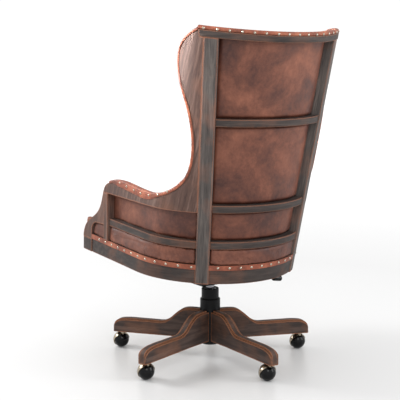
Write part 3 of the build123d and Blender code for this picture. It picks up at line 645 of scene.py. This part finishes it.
roll_start_y = -0.172
roll_run = [point for point in free_edge if point[0] > roll_start_y or point[1] > wing_foot]
roll_verts = []
for i, (y, z) in enumerate(roll_run):
    here, outward, away = edge_frame(i)
    section = roll_section(band_lap(y, z), 1.0 if z < wing_foot else 0.7)
    for out, up in section:
        roll_verts.append(here + outward * out + away * up)
roll_faces = swept_faces(len(roll_run), len(section))
for side, sign in (("left", 1), ("right", -1)):
    roll = mesh_object(f"arm_and_wing_roll_{side}", mirrored(roll_verts, sign), roll_faces, band_hide)


def rail_roll_point(along, out, up):
    """a point of the top rail's leather, out from the surface and up from the rail's top"""
    point, _ = surface(rail_top, along, -out)
    for _ in range(3):
        point, _ = surface(rail_z(rail_top, point.y), along, -out)
    rail_up = Vector((0, math.sin(math.atan(rake)), math.cos(math.atan(rake))))
    return point + rail_up * up


rail_section = [(-0.0006, 0.0002), (0.0008, 0.0022), (0.0008, 0.0060), (-0.0012, 0.0090),
                (-0.0060, 0.0104), (-0.0140, 0.0098), (-0.0240, 0.0076), (-0.0320, 0.0048),
                (-0.0362, 0.0010), (-0.0350, 0.0002)]
rail_top = 1.020
rail_steps = 90
rail_end_along = 1.48
rail_verts = []
for i in range(rail_steps + 1):
    along = (2 * i / rail_steps - 1) * rail_end_along
    for out, up in rail_section:
        rail_verts.append(rail_roll_point(along, out, up))
rail_faces = swept_faces(rail_steps + 1, len(rail_section))
rail_roll = mesh_object("top_rail_roll", rail_verts, rail_faces, band_hide)
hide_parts("rim_band")


# ---------------------------------------------------------------- small nails along the wing's edge
def add_dome(verts, faces, centre, facing, radius, height):
    """one domed nail head with a flat underside"""
    side = facing.cross(Vector((0.3, 0.2, 1))).normalized()
    up = facing.cross(side)
    first = len(verts)
    rings, around = 4, 12
    for ring in range(rings):
        tilt = ring / rings * math.pi / 2
        for k in range(around):
            turn = 2 * math.pi * k / around
            flat = math.cos(turn) * side + math.sin(turn) * up
            verts.append(centre + radius * math.cos(tilt) * flat + height * math.sin(tilt) * facing)
    verts.append(centre + height * facing)
    for ring in range(rings - 1):
        for k in range(around):
            a, b = first + ring * around + k, first + ring * around + (k + 1) % around
            faces.append((a, b, b + around, a + around))
    for k in range(around):
        faces.append((first + (rings - 1) * around + k, first + (rings - 1) * around + (k + 1) % around,
                      first + rings * around))
    faces.append(tuple(first + k for k in range(around))[::-1])


wing_nail_radius, wing_nail_height = 0.0032, 0.0019
wing_nail_pitch, wing_nail_in, wing_nail_up = 0.021, 0.005, 0.0036
wing_verts, wing_faces = [], []
travelled, due = 0.0, 0.012
for i in range(1, len(roll_run)):
    travelled += math.dist(roll_run[i - 1], roll_run[i])
    if roll_run[i][1] < wing_foot or travelled < due:
        continue
    due = travelled + wing_nail_pitch
    here, outward, away = edge_frame(i)
    centre = here - outward * wing_nail_in + away * wing_nail_up
    add_dome(wing_verts, wing_faces, centre, away, wing_nail_radius, wing_nail_height)
for side, sign in (("left", 1), ("right", -1)):
    wing_nails = mesh_object(f"wing_nails_{side}", mirrored(wing_verts, sign), wing_faces, dark_nail)

# ---------------------------------------------------------------- floor, light and camera
floor_graph = Graph("floor_paint")
from_chair = floor_graph.vector("LENGTH", floor_graph.place).outputs["Value"]
glow = floor_graph.math("MULTIPLY", floor_graph.fade(from_chair, 1.6, 5.0), 0.40)
floor_paint = floor_graph.set(Base_Color=(0.65, 0.65, 0.65, 1), Roughness=0.30, Specular_IOR_Level=0.3,
                              Emission_Color=(1, 1, 1, 1), Emission_Strength=glow)
bpy.ops.mesh.primitive_plane_add(size=60, location=(0, 0, 0))
floor = bpy.context.object
floor.name = "floor"
floor.data.materials.append(floor_paint)

world = bpy.data.worlds.new("studio")
bpy.context.scene.world = world
world.use_nodes = True
background = world.node_tree.nodes["Background"]
background.inputs["Color"].default_value = (1, 1, 1, 1)
background.inputs["Strength"].default_value = 1.04


def softbox(name, place, target, size, power, spread=180):
    """a rectangular light that faces its target, with its beam narrowed to spread degrees"""
    light = bpy.data.lights.new(name, "AREA")
    light.shape = "RECTANGLE"
    light.size, light.size_y = size
    light.energy, light.spread = power, math.radians(spread)
    lamp = bpy.data.objects.new(name, light)
    lamp.location = place
    lamp.rotation_euler = (Vector(target) - Vector(place)).to_track_quat("-Z", "Y").to_euler()
    bpy.context.scene.collection.objects.link(lamp)


softbox("side", (1.8, -2.2, 2.0), (0.2, 0.2, 0.8), (1.2, 1.0), 70)
softbox("wing", (2.0, -0.7, 1.7), (0.25, 0.0, 0.98), (0.3, 0.3), 5.2, spread=20)
softbox("key", (1.2, 2.6, 2.3), (0, 0, 0.6), (1.2, 1.2), 26)
softbox("rim", (-2.2, 2.4, 1.7), (0, 0, 0.7), (0.8, 2.0), 40)

camera_place = Vector((1.755, 2.525, 0.9345))
camera_heading = Vector((-0.562, -0.827, -0.1392))
lens = bpy.data.cameras.new("camera")
lens.lens, lens.sensor_width = 88.96, 36
camera = bpy.data.objects.new("camera", lens)
camera.location = camera_place
camera.rotation_euler = camera_heading.to_track_quat("-Z", "Y").to_euler()
bpy.context.scene.collection.objects.link(camera)
bpy.context.scene.camera = camera
bpy.context.scene.view_settings.view_transform = "Standard"
